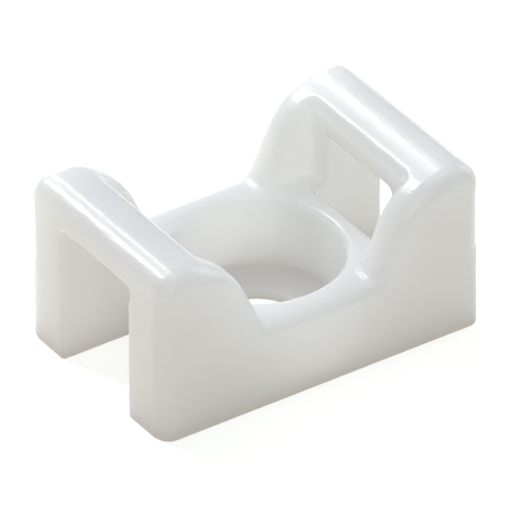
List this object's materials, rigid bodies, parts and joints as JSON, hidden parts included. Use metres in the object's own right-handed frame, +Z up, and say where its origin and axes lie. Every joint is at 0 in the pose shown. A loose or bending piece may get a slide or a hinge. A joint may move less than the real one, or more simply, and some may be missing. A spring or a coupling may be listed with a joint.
{
  "type": "cable tie mount",
  "caption": "Screw-fixed saddle mount for a cable tie: a low moulded block with a strap slot under a bar at each end and a round recess for the screw head in the middle",
  "frame": {"origin": "on the mounting face, where the axis of the screw hole meets it", "axes": "+X along the length, the way the strap runs; +Y across the width, the way a cable lies; +Z up, away from the surface it is screwed to"},
  "size_m": [0.022, 0.014, 0.0109],
  "materials": {
    "natural_nylon": "milky translucent natural nylon, smooth as moulded with a soft gloss"
  },
  "bodies": {
    "root": {"mount_body": "natural_nylon"}
  },
  "joints": []
}
